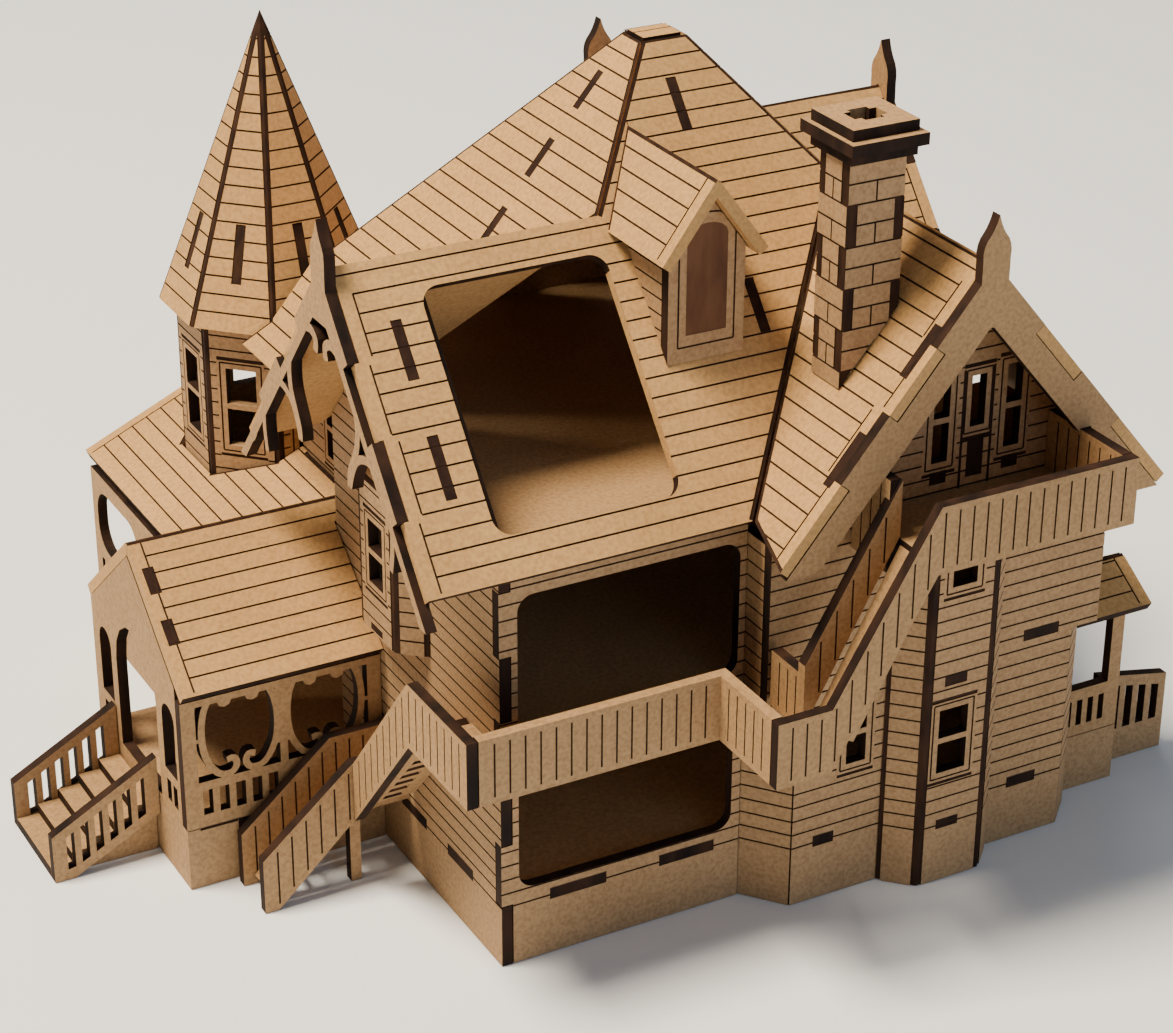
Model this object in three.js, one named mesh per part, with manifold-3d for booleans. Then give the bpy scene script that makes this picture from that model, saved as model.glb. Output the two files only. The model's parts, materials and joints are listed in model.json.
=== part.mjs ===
// A Victorian house for tabletop play, built from flat 3 mm fibreboard sheets.
// The building frame has its origin at the foot of the front left corner of the main wall:
// +X runs along the front, +Y goes to the back and +Z is up. The last group moves that frame so
// that the origin of the whole part is the centre of its footprint, on the ground.
import * as THREE from "three";
import { mergeVertices } from "three/addons/utils/BufferGeometryUtils.js";
import Module from "manifold-3d";

const wasm = await Module();
wasm.setup();

// ---- driving dimensions, mm ----
const T = 3; // sheet thickness
const GAP = 0.3; // clearance between neighbouring sheets
const LAP = 0.3; // how far two sheets of one solid run into each other at a ridge
const FINGER = 18; // height of one corner finger
const GABLE_BOARD = 7; // width of the band of a bargeboard
const SLIM_BOARD = 2.6; // the same on the west gable, where tracery hangs from it
const HUGE = 800; // longer than the part, for half spaces

const STEEP = Math.atan(1.187); // pitch of the main roofs
const SHALLOW = Math.atan(0.829); // pitch of the porch gable
const LEAN = Math.atan(0.45); // pitch of the porch lean-to

const GROUND_Z = 19.5; // top of the ground floor sheet
const FIRST_Z = 64.5; // top of the first floor sheet
const ATTIC_Z = 114.5; // top of the attic floor sheet
const RAIL_H = 18.3; // height of every boarded rail
const RAIL_BELOW = 2.2; // how far a boarded rail hangs below the top of its floor

const MAIN_W = 70; // front wall of the main block, along X
const BLOCK_D = 97; // depth of the left gable block
const SETBACK_X = 15; // rear west wall
const WING_Y = -11.1; // front of the wing
const EAST_X = 174; // east wall of the wing
const EAST_D = 40; // depth of the wing's east wall
const GABLE_X = 160; // east gable wall
const NORTH_Y = 154; // north wall
const BAY = { left: 105.8, right: 142, front: -19.4, splay: 8.1 };
const CHAMFER = { left: 79, right: 166, back: -3 };

const RIDGE_Z = 178.9; // ridge height of the gables
const RIDGE_Y = 48.5; // west gable ridge
const WING_RIDGE_X = 122;
const EAST_RIDGE_Y = 102;
const NORTH_RIDGE_X = 117.5;
const NORTH_RIDGE_Z = 175.5;
const TOP = { x0: 81, x1: 94, y0: 76.6, y1: 86.2, z: 212.1 }; // flat top of the hipped roof
const VERGE_W = -21.2;
const BOARD_W = -23; // outer face of the west gable board
const VERGE_S = -24.8;
const VERGE_E = 175;
const VERGE_N = 168;
const EAVE_Y = -6;

const WALK = 17.9; // width of the first floor walkway
const STAIR = { foot: 67.4, head: 96.1, outer: -44.9, inner: -28, end: 154.8 };
const BALCONY_Z = 112.5; // top of the upper balcony floor
const STEP_DOWN = { peak: 15, foot: 50.4, z: 24, ground: -44.1, back: 68 };

const PORCH = { x: -57.2, y0: 70, y1: 136, ridgeY: 103, ridgeZ: 89.2, floor: 18, eave: 67.4 };
const LEANTO = { x: -28.5, z: 60, y1: 216 };
const TOWER = { x: 18.6, y: 180.4, r: 28.2, wall: 118, top: 116.4, roofR: 32.9, apex: 201.6 };
const ORIEL = { x: -7.4, y0: 44.8, y1: 65.3, splay: 6.3, z0: 71.5, z1: 114.5 };
const STEPS = { x1: -88, y0: 90, y1: 124, count: 5 };
const EAST_PORCH = {
  x: 194, stepX: 217, y0: 1.2, y1: 25, floor: 17, verge: 199.9, eaveY: -2.7, eaveZ: 56, ridgeY: 12, pitch: Math.atan(0.635),
};

const SHEET = new THREE.MeshStandardMaterial({ color: 0xb98d5c, roughness: 0.8, metalness: 0 });

// ---- solids ----

// A closed geometry as a manifold solid.
function solid(geometry) {
  const bare = geometry.index ? geometry.toNonIndexed() : geometry.clone();
  bare.deleteAttribute("normal");
  bare.deleteAttribute("uv");
  const merged = mergeVertices(bare, 1e-4);
  return new wasm.Manifold(
    new wasm.Mesh({
      numProp: 3,
      vertProperties: new Float32Array(merged.attributes.position.array),
      triVerts: new Uint32Array(merged.index.array),
    }),
  );
}

// A block between two corners.
function block(x0, x1, y0, y1, z0, z1) {
  const geometry = new THREE.BoxGeometry(x1 - x0, y1 - y0, z1 - z0);
  geometry.translate((x0 + x1) / 2, (y0 + y1) / 2, (z0 + z1) / 2);
  return solid(geometry);
}

function shapeOf(points) {
  return new THREE.Shape(points.map(([a, b]) => new THREE.Vector2(a, b)));
}

// A path around a rectangle, for a window or a slot.
function rect(a0, a1, b0, b1) {
  return new THREE.Path([[a0, b0], [a1, b0], [a1, b1], [a0, b1]].map(([a, b]) => new THREE.Vector2(a, b)));
}

// A rectangle with round corners.
function roundRect(a0, a1, b0, b1, r) {
  const path = new THREE.Path();
  path.moveTo(a0 + r, b0);
  path.lineTo(a1 - r, b0);
  path.absarc(a1 - r, b0 + r, r, -Math.PI / 2, 0);
  path.lineTo(a1, b1 - r);
  path.absarc(a1 - r, b1 - r, r, 0, Math.PI / 2);
  path.lineTo(a0 + r, b1);
  path.absarc(a0 + r, b1 - r, r, Math.PI / 2, Math.PI);
  path.lineTo(a0, b0 + r);
  path.absarc(a0 + r, b0 + r, r, Math.PI, 1.5 * Math.PI);
  return path;
}

// An opening with a round head.
function arch(a0, a1, b0, b1) {
  const r = (a1 - a0) / 2;
  const path = new THREE.Path();
  path.moveTo(a0, b0);
  path.lineTo(a1, b0);
  path.lineTo(a1, b1 - r);
  path.absarc(a0 + r, b1 - r, r, 0, Math.PI);
  path.lineTo(a0, b0);
  return path;
}

// The four edges of a window with a bar across its middle.
function sash(a0, a1, b0, b1) {
  const bar = 0.8;
  const middle = (b0 + b1) / 2;
  return [rect(a0, a1, b0, middle - bar), rect(a0, a1, middle + bar, b1)];
}

// A plane with its outer face along u and v. The outward normal is u x v.
function plane(origin, u, v) {
  const n = new THREE.Vector3().crossVectors(u, v);
  return { origin, u, v, n };
}

const X = new THREE.Vector3(1, 0, 0);
const Y = new THREE.Vector3(0, 1, 0);
const Z = new THREE.Vector3(0, 0, 1);
const at = (x, y, z) => new THREE.Vector3(x, y, z);

// Upright planes. Their outlines are given in the building's own X or Y, and Z.
const facingSouth = (y) => plane(at(0, y, 0), X, Z);
const facingEast = (x) => plane(at(x, 0, 0), Y, Z);
const flat = (z) => plane(at(0, 0, z), X, Y);

// A roof plane that rises towards (dx, dy) in plan.
function slope(x, y, z, dx, dy, pitch) {
  const v = at(dx * Math.cos(pitch), dy * Math.cos(pitch), Math.sin(pitch));
  return plane(at(x, y, z), at(dy, -dx, 0), v);
}

// The height of a roof plane above a plan point.
function heightOn(p, x, y) {
  return p.origin.z - (p.n.x * (x - p.origin.x) + p.n.y * (y - p.origin.y)) / p.n.z;
}

// A plan point laid on a roof plane, in the plane's own coordinates.
function onPlane(p, [x, y]) {
  const d = at(x, y, heightOn(p, x, y)).sub(p.origin);
  return [d.dot(p.u), d.dot(p.v)];
}

function place(geometry, p, offset = 0) {
  const basis = new THREE.Matrix4().makeBasis(p.u, p.v, p.n);
  basis.setPosition(p.origin.clone().addScaledVector(p.n, offset));
  return geometry.applyMatrix4(basis);
}

// An outline, given as points or as a path, made into a solid that ends above and below the plane.
function prism(p, outline, above, below) {
  const shape = Array.isArray(outline) ? shapeOf(outline) : new THREE.Shape(outline.getPoints(4));
  const geometry = new THREE.ExtrudeGeometry(shape, { depth: above + below, bevelEnabled: false });
  return solid(place(geometry, p, -below));
}

// A flat sheet whose outer face lies on the plane.
function sheet(p, outline, holes = [], thickness = T) {
  const whole = prism(p, outline, 0, thickness);
  return holes.reduce((rest, hole) => rest.subtract(prism(p, hole, 1, thickness + 1)), whole);
}

// The points of a plan outline, moved inwards from every edge.
function inset(points, d) {
  const area = points.reduce((sum, [x, y], i) => {
    const [nx, ny] = points[(i + 1) % points.length];
    return sum + x * ny - nx * y;
  }, 0);
  const turn = Math.sign(area);
  return points.map((b, i) => {
    const a = points[(i + points.length - 1) % points.length];
    const c = points[(i + 1) % points.length];
    const e = new THREE.Vector2(b[0] - a[0], b[1] - a[1]).normalize();
    const f = new THREE.Vector2(c[0] - b[0], c[1] - b[1]).normalize();
    const ne = new THREE.Vector2(-e.y, e.x).multiplyScalar(turn);
    const nf = new THREE.Vector2(-f.y, f.x).multiplyScalar(turn);
    const k = d / (1 + ne.dot(nf));
    return [b[0] + (ne.x + nf.x) * k, b[1] + (ne.y + nf.y) * k];
  });
}

// A roof sheet over a plan outline: square edges at eaves and verges, mitred at hips and ridges.
function roofSheet(p, plan, holes = []) {
  const outline = inset(plan, GAP / 2);
  const square = sheet(p, outline.map((point) => onPlane(p, point)), holes);
  const upright = sheet(flat(HUGE / 2), outline, [], HUGE);
  return square.intersect(upright);
}

// The half space on one side of a plane that is moved along its own normal.
function halfSpace(p, offset, above) {
  const geometry = new THREE.BoxGeometry(2 * HUGE, 2 * HUGE, HUGE);
  return solid(place(geometry.translate(0, 0, above ? HUGE / 2 : -HUGE / 2), p, offset));
}

// What is left of a solid below the inner faces of roof sheets.
function under(body, ...planes) {
  return planes.reduce((rest, p) => rest.subtract(halfSpace(p, -T - GAP, true)), body);
}

// What is left of a solid above the outer face of a roof sheet.
function over(body, p) {
  return body.subtract(halfSpace(p, GAP, false));
}

// Square fingers up a corner: every other one belongs to the wall that asks for it.
function fingers(x, y, z0, z1, first) {
  const blocks = [];
  for (let k = 0; z0 + k * FINGER < z1 - 1; k += 1) {
    const low = z0 + k * FINGER + (k ? GAP / 2 : 0);
    const high = Math.min(z0 + (k + 1) * FINGER - GAP / 2, z1);
    if (k % 2 === first) blocks.push([x, x + T, y, y + T, low, high]);
  }
  return blocks;
}

function grow([x0, x1, y0, y1, z0, z1], dx, dy) {
  return block(x0 - Math.max(-dx, 0), x1 + Math.max(dx, 0), y0 - Math.max(-dy, 0), y1 + Math.max(dy, 0), z0, z1);
}

// A tab of a floor sheet that shows in a wall, and the slot it needs.
function tabSlots(wall, tabs) {
  return tabs.reduce((rest, [x0, x1, y0, y1, z0, z1]) => {
    const g = 0.2;
    const wide = x1 - x0 > y1 - y0;
    const gx = wide ? g : 1;
    const gy = wide ? 1 : g;
    return rest.subtract(block(x0 - gx, x1 + gx, y0 - gy, y1 + gy, z0 - g, z1 + g));
  }, wall);
}

function withTabs(floor, tabs, dx, dy) {
  return tabs.reduce((rest, tab) => rest.add(grow(tab, dx, dy)), floor);
}

// An inclined ladder of treads: one sheet with a row of square holes.
function treadSheet(p, width, length, count) {
  const margin = width * 0.3;
  const pitch = length / count;
  const holes = [];
  for (let k = 0; k < count; k += 1) {
    holes.push(rect(margin, width - margin, (k + 0.25) * pitch, (k + 0.75) * pitch));
  }
  return sheet(p, [[0, 0], [width, 0], [width, length], [0, length]], holes);
}

// An open balustrade between two slanting lines: the gaps between its balusters.
function balusterGaps(a0, a1, low, high, count, bar) {
  const pitch = (a1 - a0) / count;
  const gaps = [];
  for (let k = 0; k < count; k += 1) {
    const l = a0 + k * pitch + bar / 2;
    const r = a0 + (k + 1) * pitch - bar / 2;
    gaps.push([[l, low(l)], [r, low(r)], [r, high(r)], [l, high(l)]]);
  }
  return gaps;
}

const line = (x0, z0, x1, z1) => (x) => z0 + ((x - x0) * (z1 - z0)) / (x1 - x0);

// ---- roof planes ----
const roofSouth = slope(0, RIDGE_Y, RIDGE_Z, 0, 1, STEEP);
const roofBlockNorth = slope(0, RIDGE_Y, RIDGE_Z, 0, -1, STEEP);
const roofWest = slope(TOP.x0, 0, TOP.z, 1, 0, STEEP);
const roofEast = slope(WING_RIDGE_X, 0, RIDGE_Z, -1, 0, STEEP);
const roofNorth = slope(0, TOP.y1, TOP.z, 0, -1, STEEP);
const roofWing = slope(WING_RIDGE_X, 0, RIDGE_Z, 1, 0, STEEP);
const roofEastS = slope(0, EAST_RIDGE_Y, RIDGE_Z, 0, 1, STEEP);
const roofEastN = slope(0, EAST_RIDGE_Y, RIDGE_Z, 0, -1, STEEP);
const roofNorthW = slope(NORTH_RIDGE_X, 0, NORTH_RIDGE_Z, 1, 0, STEEP);
const roofNorthE = slope(NORTH_RIDGE_X, 0, NORTH_RIDGE_Z, -1, 0, STEEP);
const porchS = slope(0, PORCH.ridgeY, PORCH.ridgeZ, 0, 1, SHALLOW);
const porchN = slope(0, PORCH.ridgeY, PORCH.ridgeZ, 0, -1, SHALLOW);
const leanTo = slope(LEANTO.x, 0, LEANTO.z, 1, 0, LEAN);
const eastPorchS = slope(0, EAST_PORCH.eaveY, EAST_PORCH.eaveZ, 0, 1, EAST_PORCH.pitch);
const eastPorchN = slope(0, 2 * EAST_PORCH.ridgeY - EAST_PORCH.eaveY, EAST_PORCH.eaveZ, 0, -1, EAST_PORCH.pitch);

const nodes = [];
const add = (name, body) => nodes.push([name, body]);

// ---- walls and floors ----
const groundTabs = [[14, 30, 0, T], [46, 62, 0, T]].map((t) => [...t, GROUND_Z - T, GROUND_Z]);
const westTabs = [[0, T, 16.5, 31], [0, T, 44, 59]].map((t) => [...t, GROUND_Z - T, GROUND_Z]);
const wingTabs = [
  [86, 92, GROUND_Z],
  [148, 157, GROUND_Z],
  [150, 161, FIRST_Z],
].map(([x0, x1, z]) => [x0, x1, WING_Y, WING_Y + T, z - T, z]);

function southWall() {
  const holes = [roundRect(5, 67.2, 22, 58, 4.5), roundRect(5, 67.8, 68, 106, 4.5)];
  const top = heightOn(roofSouth, 0, 0) - 5;
  let wall = sheet(facingSouth(0), [[T + GAP, 0], [MAIN_W - GAP, 0], [MAIN_W - GAP, top], [T + GAP, top]], holes);
  for (const f of fingers(0, 0, 0, top, 1)) wall = wall.add(grow(f, 1, 0));
  return tabSlots(wall, groundTabs);
}

function westWall() {
  const oriel = rect(ORIEL.y0 + T, ORIEL.y1 - T, ORIEL.z0 + 2 * T, ORIEL.z1 - 2 * T);
  const holes = [oriel, arch(42, 55, 124, 152)];
  const y1 = BLOCK_D;
  let wall = sheet(facingEast(T), [[T + GAP, 0], [y1, 0], [y1, RIDGE_Z], [T + GAP, RIDGE_Z]], holes);
  wall = under(wall, roofSouth, roofBlockNorth);
  const top = heightOn(roofSouth, 0, 0) - 5;
  for (const f of fingers(0, 0, 0, top, 0)) wall = wall.add(grow(f, 0, 1));
  return tabSlots(wall, westTabs);
}

// The short north wall of the left block and the rear west wall meet in a corner.
function rearWestWall() {
  const top = 108;
  const jog = block(T + GAP, SETBACK_X + T, BLOCK_D - T, BLOCK_D, 0, top);
  const rear = sheet(
    facingEast(SETBACK_X + T),
    [[BLOCK_D - 1, 0], [NORTH_Y - GAP, 0], [NORTH_Y - GAP, top], [BLOCK_D - 1, top]],
    [...sash(104, 114, 30, 56), ...sash(126, 136, 84, 102)],
  );
  return jog.add(rear);
}

// A small bay that hangs on the west wall: three upright sheets between a floor and a top.
function orielWalls() {
  const { x, y0, y1, splay, z0, z1 } = ORIEL;
  const outer = [[-GAP, y0 - splay], [x, y0], [x, y1], [-GAP, y1 + splay]];
  const room = [[1, y0 - splay + 2 * T], [-GAP, y0 - splay + 2 * T], [x + T, y0 + T], [x + T, y1 - T], [-GAP, y1 + splay - 2 * T], [1, y1 + splay - 2 * T]];
  const shell = sheet(flat(z1), outer.reverse(), [], z1 - z0).subtract(sheet(flat(z1 - T), room.reverse(), [], z1 - z0 - 2 * T));
  const west = plane(at(x, 0, 0), at(0, -1, 0), Z);
  return sash(-59.2, -50.8, 86, 104).reduce((rest, hole) => rest.subtract(prism(west, hole, 1, T + 1)), shell);
}

// A splayed wall between two plan points, its outer face on the line from a to b.
function splayWall([ax, ay], [bx, by], z0, z1) {
  const u = at(bx - ax, by - ay, 0);
  const length = u.length();
  const p = plane(at(ax, ay, 0), u.normalize(), Z);
  return sheet(p, [[0, z0], [length, z0], [length, z1], [0, z1]]);
}

function wingFront() {
  const z1 = FIRST_Z - T;
  const outline = [
    [CHAMFER.left + GAP, 0], [BAY.left + 4, 0], [BAY.left + 4, 108], [BAY.right - 4, 108], [BAY.right - 4, 0],
    [CHAMFER.right - GAP, 0], [CHAMFER.right - GAP, z1], [EAST_X, z1], [EAST_X, RIDGE_Z],
    [MAIN_W, RIDGE_Z], [MAIN_W, z1], [CHAMFER.left + GAP, z1],
  ];
  const holes = [
    ...sash(95, 101, 39, 57), ...sash(116.2, 121, 121, 144), ...sash(138.2, 143, 121, 144),
    rect(127.4, 131.8, 129, 143),
  ];
  return tabSlots(under(sheet(facingSouth(WING_Y), outline, holes), roofWing, roofEast), wingTabs);
}

function eastWall() {
  const top = 108;
  const y0 = WING_Y + T + GAP;
  const outline = [
    [CHAMFER.back + GAP, 0], [EAST_D, 0], [EAST_D, top], [y0, top], [y0, FIRST_Z - T], [CHAMFER.back + GAP, FIRST_Z - T],
  ];
  const wall = sheet(facingEast(EAST_X), outline, [arch(7, 17, 20, 48), ...sash(14, 22, 78, 100)]);
  return wall.add(block(GABLE_X, EAST_X - 1, EAST_D - T, EAST_D, 0, top));
}

function eastGable() {
  const top = 108;
  const y0 = EAST_D + GAP;
  const y1 = NORTH_Y - T - GAP;
  const low = sheet(facingEast(GABLE_X), [[y0, 0], [y1, 0], [y1, top], [y0, top]],
    [...sash(60, 70, 30, 54), ...sash(84, 94, 30, 54), ...sash(112, 122, 30, 54), ...sash(84, 94, 74, 100), ...sash(112, 122, 74, 100)]);
  const gable = sheet(facingEast(GABLE_X), [[y0, top - 1], [y1, top - 1], [y1, RIDGE_Z], [y0, RIDGE_Z]],
    [...sash(97, 107, 122, 146)]);
  return low.add(under(gable, roofEastS, roofEastN));
}

function northWall() {
  const top = 108;
  const x0 = SETBACK_X + 20;
  const p = plane(at(0, NORTH_Y, 0), at(-1, 0, 0), Z);
  const windows = [60, 84, 118, 140].flatMap((x) => [...sash(-x - 10, -x, 30, 54), ...sash(-x - 10, -x, 74, 100)]);
  const low = sheet(p, [[-GABLE_X, 0], [-x0, 0], [-x0, top], [-GABLE_X, top]], windows);
  const gable = sheet(p, [[-GABLE_X, top - 1], [-66, top - 1], [-66, RIDGE_Z], [-GABLE_X, RIDGE_Z]], sash(-122.5, -112.5, 122, 144));
  return low.add(under(gable, roofNorthW, roofNorthE));
}

function bayWalls() {
  const z1 = 108;
  const f = BAY.front;
  const left = BAY.left + BAY.splay;
  const right = BAY.right - BAY.splay;
  const outer = [[BAY.left, WING_Y - GAP], [left, f], [right, f], [BAY.right, WING_Y - GAP]];
  const inner = [[BAY.right - 4.2, WING_Y - GAP], [right - 1.2, f + T], [left + 1.2, f + T], [BAY.left + 4.2, WING_Y - GAP]];
  const shell = sheet(flat(z1), [...outer, ...inner], [], z1);
  const front = [[118, 127, 34, 43], [118, 127, 44.6, 53], [119.5, 127, 89, 98]];
  return front.reduce((rest, [x0, x1, z0, z2]) => rest.subtract(block(x0, x1, f - 1, f + T + 1, z0, z2)), shell);
}

const floorPlan = [
  [T + GAP, T + GAP], [MAIN_W + T + GAP, T + GAP], [MAIN_W + T + GAP, WING_Y + T + GAP],
  [EAST_X - T - GAP, WING_Y + T + GAP], [EAST_X - T - GAP, EAST_D - T - GAP], [GABLE_X - T - GAP, EAST_D - T - GAP],
  [GABLE_X - T - GAP, NORTH_Y - T - GAP], [SETBACK_X + T + GAP, NORTH_Y - T - GAP],
  [SETBACK_X + T + GAP, BLOCK_D - T - GAP], [T + GAP, BLOCK_D - T - GAP],
];

function groundFloor() {
  const plan = floorPlan.slice();
  plan.splice(1, 3, [MAIN_W + 2, T + GAP], [CHAMFER.left + 3, WING_Y + T + GAP],
    [CHAMFER.right - 3, WING_Y + T + GAP], [EAST_X - T - GAP, CHAMFER.back + 3]);
  let floor = sheet(flat(GROUND_Z), plan);
  floor = withTabs(floor, groundTabs, 0, 1);
  floor = withTabs(floor, westTabs, 1, 0);
  return withTabs(floor, wingTabs.slice(0, 2), 0, 1);
}

add("ground_floor", groundFloor());
add("first_floor", withTabs(sheet(flat(FIRST_Z), floorPlan), wingTabs.slice(2), 0, 1));
add("attic_floor", sheet(flat(ATTIC_Z), floorPlan));
add("south_wall", southWall());
add("west_gable_wall", westWall());
add("rear_west_wall", rearWestWall());
add("wing_corner_left", splayWall([MAIN_W, GAP], [CHAMFER.left, WING_Y + GAP], 0, FIRST_Z - T - GAP)
  .subtract(block(CHAMFER.left, CHAMFER.left + 5, WING_Y - 1, WING_Y + T + GAP, -1, FIRST_Z)));
add("wing_front_wall", wingFront());
add("wing_corner_right", splayWall([CHAMFER.right, WING_Y + GAP], [EAST_X, CHAMFER.back], 0, FIRST_Z - T - GAP)
  .subtract(block(CHAMFER.right - 5, CHAMFER.right, WING_Y - 1, WING_Y + T + GAP, -1, FIRST_Z))
  .subtract(block(EAST_X - T - GAP, EAST_X + 1, CHAMFER.back, 5, -1, FIRST_Z)));
add("wing_return_wall", block(MAIN_W, MAIN_W + T, WING_Y + T + GAP, T, FIRST_Z - T, 108));
add("wing_east_wall", eastWall());
add("east_gable_wall", eastGable());
add("north_gable_wall", northWall());
add("bay_walls", bayWalls());
add("oriel_walls", orielWalls());

// ---- main roofs ----
const towerRing = (r) => {
  const points = [];
  for (let k = 0; k < 8; k += 1) {
    const a = ((k + 0.5) * Math.PI) / 4;
    points.push([TOWER.x + r * Math.cos(a), TOWER.y + r * Math.sin(a)]);
  }
  return points;
};
const towerClear = sheet(flat(HUGE / 2), towerRing(TOWER.roofR + 1), [], HUGE);
const hipSW = [TOP.x0 - (TOP.z - RIDGE_Z) / Math.tan(STEEP), RIDGE_Y];
const eaveW = TOP.x0 - (TOP.z - 114) / Math.tan(STEEP);
const blockEaveY = hipSW[0] + RIDGE_Y - eaveW;
const hipNW = [eaveW, TOP.y1 + TOP.x0 - eaveW];
const valleyS = [WING_RIDGE_X - (RIDGE_Y - EAVE_Y), EAVE_Y];
const northMeet = TOP.y1 + (TOP.z - NORTH_RIDGE_Z) / Math.tan(STEEP);
const stripEnd = 160;

// The round-cornered way into the attic, cut through the front slope.
function atticOpening() {
  const [, low] = onPlane(roofSouth, [0, 1]);
  const [, high] = onPlane(roofSouth, [0, 42.3]);
  return roundRect(0.5, 51.5, low, high, 5);
}

function pyramidNorth() {
  const reach = stripEnd - TOP.y1;
  const meet = [NORTH_RIDGE_X, northMeet];
  const plan = [
    [TOP.x0, TOP.y1], [TOP.x1, TOP.y1], [TOP.x1 + reach, stripEnd],
    [NORTH_RIDGE_X + stripEnd - northMeet, stripEnd], meet,
    [NORTH_RIDGE_X - (stripEnd - northMeet), stripEnd], [TOP.x0 - reach, stripEnd],
  ];
  return roofSheet(roofNorth, plan.reverse()).subtract(towerClear);
}

// The small flat plate that closes the top of the hips.
function roofCap() {
  return block(TOP.x0 + 1, TOP.x1 - 1, TOP.y0 + 1, TOP.y1 + 0.8, TOP.z - T, TOP.z);
}

function roofEastSheet() {
  const wingEave = WING_RIDGE_X + (RIDGE_Z - 109.5) / Math.tan(STEEP);
  const corner = EAST_RIDGE_Y - (wingEave - WING_RIDGE_X);
  const end = VERGE_E - WING_RIDGE_X + EAST_RIDGE_Y;
  return roofSheet(roofEast, [
    [TOP.x1, TOP.y0], [WING_RIDGE_X, RIDGE_Y], [WING_RIDGE_X, VERGE_S], [wingEave, VERGE_S], [wingEave, corner],
    [WING_RIDGE_X, EAST_RIDGE_Y], [VERGE_E, end], [TOP.x1 + end - TOP.y1, end], [TOP.x1, TOP.y1],
  ]);
}

function eastGableRoof() {
  const reach = VERGE_E - WING_RIDGE_X;
  const ridge = [WING_RIDGE_X + LAP, EAST_RIDGE_Y];
  const south = roofSheet(roofEastS, [ridge, [VERGE_E, EAST_RIDGE_Y - reach + LAP], [VERGE_E, EAST_RIDGE_Y + LAP]]);
  const north = roofSheet(roofEastN, [ridge, [VERGE_E, EAST_RIDGE_Y - LAP], [VERGE_E, EAST_RIDGE_Y + reach - LAP]]);
  return south.add(north);
}

function northGableRoof() {
  const reach = VERGE_N - northMeet;
  const x = NORTH_RIDGE_X;
  const start = northMeet + LAP;
  const west = roofSheet(roofNorthW, [[x + LAP, start], [x + LAP, VERGE_N], [x - reach + LAP, VERGE_N]]);
  const east = roofSheet(roofNorthE, [[x - LAP, start], [x + reach - LAP, VERGE_N], [x - LAP, VERGE_N]]);
  return west.add(east);
}

// Tabs of a bargeboard that show in the verge of a roof sheet, as rectangles in the roof's plane.
function vergeTabs(p, u0, u1, end) {
  const tab = 20;
  const first = 4.6;
  const tabs = [];
  for (let v = first; v + tab < end; v += 2 * tab) tabs.push([p, u0, u1, -v - tab, -v]);
  return tabs;
}

function notch(roof, tabs) {
  const g = 0.2;
  return tabs.reduce((rest, [p, u0, u1, v0, v1]) =>
    rest.subtract(prism(p, rect(u0 - g, u1 + g, v0 - g, v1 + g), 1, T + 1)), roof);
}

// What is left of a solid more than a given depth below a set of roof planes.
function below(body, planes, depth) {
  return planes.reduce((rest, p) => rest.subtract(halfSpace(p, -depth, true)), body);
}

// The outline of a ridge finial: a leaf with an ogee tip, on the ridge.
function finial(middle, z) {
  const outline = new THREE.Path();
  outline.moveTo(middle - 4, z - 14);
  outline.lineTo(middle + 4, z - 14);
  outline.lineTo(middle + 4, z + 1);
  outline.quadraticCurveTo(middle + 4.6, z + 5, middle + 2.2, z + 7.5);
  outline.quadraticCurveTo(middle + 0.8, z + 9.5, middle, z + 12.5);
  outline.quadraticCurveTo(middle - 0.8, z + 9.5, middle - 2.2, z + 7.5);
  outline.quadraticCurveTo(middle - 4.6, z + 5, middle - 4, z + 1);
  outline.lineTo(middle - 4, z - 14);
  return outline;
}

// A gable board: a band under two roof planes, with tabs that reach through the roofs and a finial.
function bargeboard(frame, middle, z, planes, tabs, extras, band = GABLE_BOARD) {
  const half = 62;
  const low = z - 72;
  const outline = [[middle - half, low], [middle + half, low], [middle + half, z], [middle - half, z]];
  const core = below(prism(frame, outline, 1, T + 1), planes, T + GAP + band);
  let board = below(sheet(frame, outline), planes, T + GAP).subtract(core);
  for (const extra of extras) board = board.add(below(extra, planes, T + GAP));
  for (const [p, u0, u1, v0, v1] of tabs) board = board.add(prism(p, rect(u0, u1, v0, v1), 0, T + 1));
  return board.add(sheet(frame, finial(middle, z)));
}

// A ring in an upright sheet, for tracery.
function ring(frame, a, b, outer, inner) {
  const round = (r) => new THREE.Path().absarc(a, b, r, 0, 2 * Math.PI);
  return sheet(frame, round(outer), [round(inner)]);
}

// A curved band of one width through a few points of an upright sheet.
function ribbon(frame, points, width) {
  const curve = new THREE.SplineCurve(points.map(([a, b]) => new THREE.Vector2(a, b)));
  const steps = 3 * (points.length - 1);
  const sides = [[], []];
  for (let k = 0; k <= steps; k += 1) {
    const p = curve.getPoint(k / steps);
    const t = curve.getTangent(k / steps).multiplyScalar(width / 2);
    sides[0].push([p.x - t.y, p.y + t.x]);
    sides[1].unshift([p.x + t.y, p.y - t.x]);
  }
  return sheet(frame, [...sides[0], ...sides[1]]);
}

// The same bands on both sides of a middle line. Points are given by their distance from that line.
function mirroredRibbons(frame, middle, bands) {
  const side = (turn) => bands.map(([points, width]) =>
    ribbon(frame, points.map(([d, z]) => [middle + turn * d, z]), width));
  return [...side(1), ...side(-1)];
}

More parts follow.
